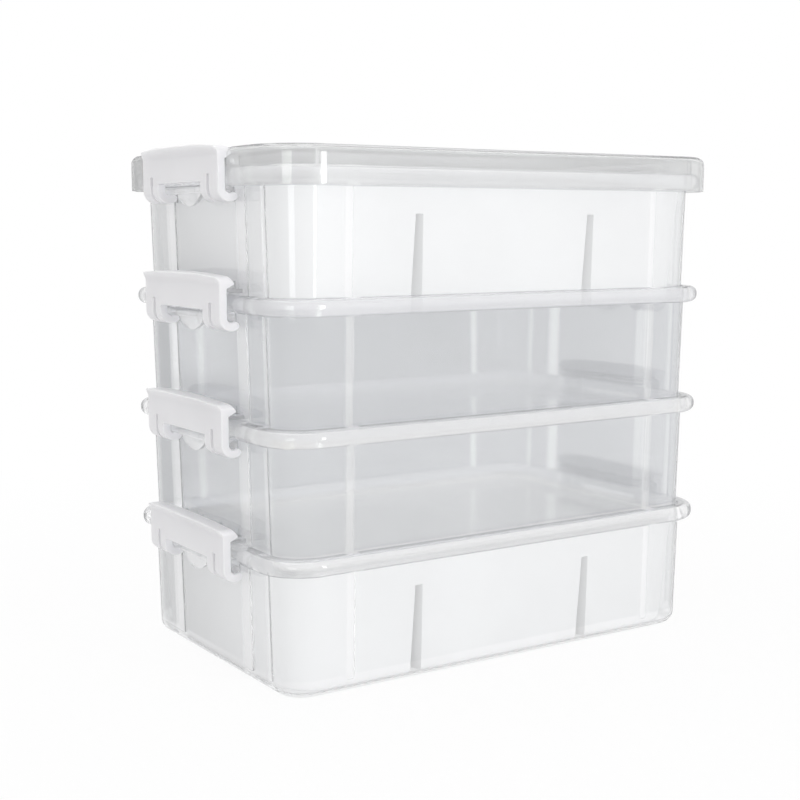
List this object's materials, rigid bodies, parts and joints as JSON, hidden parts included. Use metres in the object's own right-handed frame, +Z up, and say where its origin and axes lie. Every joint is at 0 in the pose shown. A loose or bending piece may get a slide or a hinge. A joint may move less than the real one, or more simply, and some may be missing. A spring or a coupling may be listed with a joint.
{
  "type": "stacked latching craft storage boxes",
  "caption": "Stack of clear latching storage boxes with a lid; white snap latches on both ends join each tier, and lift-out white pocket trays fill the first and last tier.",
  "frame": {"origin": "on the table, at the middle of the stack's footprint", "axes": "+X along the long side, from the left latches to the right ones; +Y from the front to the back; +Z up"},
  "size_m": [0.3374, 0.2086, 0.3029],
  "materials": {
    "clear_plastic": "natural clear polypropylene, slightly frosted",
    "white_latch": "satin white moulded plastic",
    "white_tray": "smooth white moulded plastic"
  },
  "bodies": {
    "bottom_box": {"bottom_box": "clear_plastic"},
    "bottom_left_latch": {"bottom_left_latch": "white_latch"},
    "bottom_right_latch": {"bottom_right_latch": "white_latch"},
    "lower_middle_box": {"lower_middle_box": "clear_plastic"},
    "lower_middle_left_latch": {"lower_middle_left_latch": "white_latch"},
    "lower_middle_right_latch": {"lower_middle_right_latch": "white_latch"},
    "upper_middle_box": {"upper_middle_box": "clear_plastic"},
    "upper_middle_left_latch": {"upper_middle_left_latch": "white_latch"},
    "upper_middle_right_latch": {"upper_middle_right_latch": "white_latch"},
    "top_box": {"top_box": "clear_plastic"},
    "top_left_latch": {"top_left_latch": "white_latch"},
    "top_right_latch": {"top_right_latch": "white_latch"},
    "lid": {"lid": "clear_plastic"},
    "bottom_tray": {"bottom_tray": "white_tray"},
    "top_tray": {"top_tray": "white_tray"}
  },
  "joints": [
    {"name": "bottom_left_latch_hinge", "type": "hinge", "parent": "bottom_box", "child": "bottom_left_latch", "pos_m": [-0.15801, 0, 0.06845], "axis": [0, -1, 0], "range_deg": [0, 108]},
    {"name": "bottom_right_latch_hinge", "type": "hinge", "parent": "bottom_box", "child": "bottom_right_latch", "pos_m": [0.15801, 0, 0.06845], "axis": [0, 1, 0], "range_deg": [0, 108]},
    {"name": "lower_middle_lift", "type": "slide", "parent": "bottom_box", "child": "lower_middle_box", "axis": [0, 0, 1], "range_m": [0, 0.034]},
    {"name": "lower_middle_left_latch_hinge", "type": "hinge", "parent": "lower_middle_box", "child": "lower_middle_left_latch", "pos_m": [-0.15801, 0, 0.13845], "axis": [0, -1, 0], "range_deg": [0, 108]},
    {"name": "lower_middle_right_latch_hinge", "type": "hinge", "parent": "lower_middle_box", "child": "lower_middle_right_latch", "pos_m": [0.15801, 0, 0.13845], "axis": [0, 1, 0], "range_deg": [0, 108]},
    {"name": "upper_middle_lift", "type": "slide", "parent": "lower_middle_box", "child": "upper_middle_box", "axis": [0, 0, 1], "range_m": [0, 0.034]},
    {"name": "upper_middle_left_latch_hinge", "type": "hinge", "parent": "upper_middle_box", "child": "upper_middle_left_latch", "pos_m": [-0.15801, 0, 0.20845], "axis": [0, -1, 0], "range_deg": [0, 108]},
    {"name": "upper_middle_right_latch_hinge", "type": "hinge", "parent": "upper_middle_box", "child": "upper_middle_right_latch", "pos_m": [0.15801, 0, 0.20845], "axis": [0, 1, 0], "range_deg": [0, 108]},
    {"name": "top_box_lift", "type": "slide", "parent": "upper_middle_box", "child": "top_box", "axis": [0, 0, 1], "range_m": [0, 0.034]},
    {"name": "top_left_latch_hinge", "type": "hinge", "parent": "top_box", "child": "top_left_latch", "pos_m": [-0.15801, 0, 0.27845], "axis": [0, -1, 0], "range_deg": [0, 108]},
    {"name": "top_right_latch_hinge", "type": "hinge", "parent": "top_box", "child": "top_right_latch", "pos_m": [0.15801, 0, 0.27845], "axis": [0, 1, 0], "range_deg": [0, 108]},
    {"name": "lid_lift", "type": "slide", "parent": "top_box", "child": "lid", "axis": [0, 0, 1], "range_m": [0, 0.034]},
    {"name": "bottom_tray_lift", "type": "slide", "parent": "bottom_box", "child": "bottom_tray", "axis": [0, 0, 1], "range_m": [0, 0.0306]},
    {"name": "top_tray_lift", "type": "slide", "parent": "top_box", "child": "top_tray", "axis": [0, 0, 1], "range_m": [0, 0.0306]}
  ],
  "couplings": [
    {"joint": "bottom_left_latch_hinge", "follows": "lower_middle_lift", "rad_per_m": 55},
    {"joint": "bottom_right_latch_hinge", "follows": "lower_middle_lift", "rad_per_m": 55},
    {"joint": "lower_middle_left_latch_hinge", "follows": "upper_middle_lift", "rad_per_m": 55},
    {"joint": "lower_middle_right_latch_hinge", "follows": "upper_middle_lift", "rad_per_m": 55},
    {"joint": "upper_middle_left_latch_hinge", "follows": "top_box_lift", "rad_per_m": 55},
    {"joint": "upper_middle_right_latch_hinge", "follows": "top_box_lift", "rad_per_m": 55},
    {"joint": "top_left_latch_hinge", "follows": "lid_lift", "rad_per_m": 55},
    {"joint": "top_right_latch_hinge", "follows": "lid_lift", "rad_per_m": 55},
    {"joint": "bottom_tray_lift", "follows": "lower_middle_lift", "ratio": 0.9},
    {"joint": "top_tray_lift", "follows": "lid_lift", "ratio": 0.9}
  ]
}
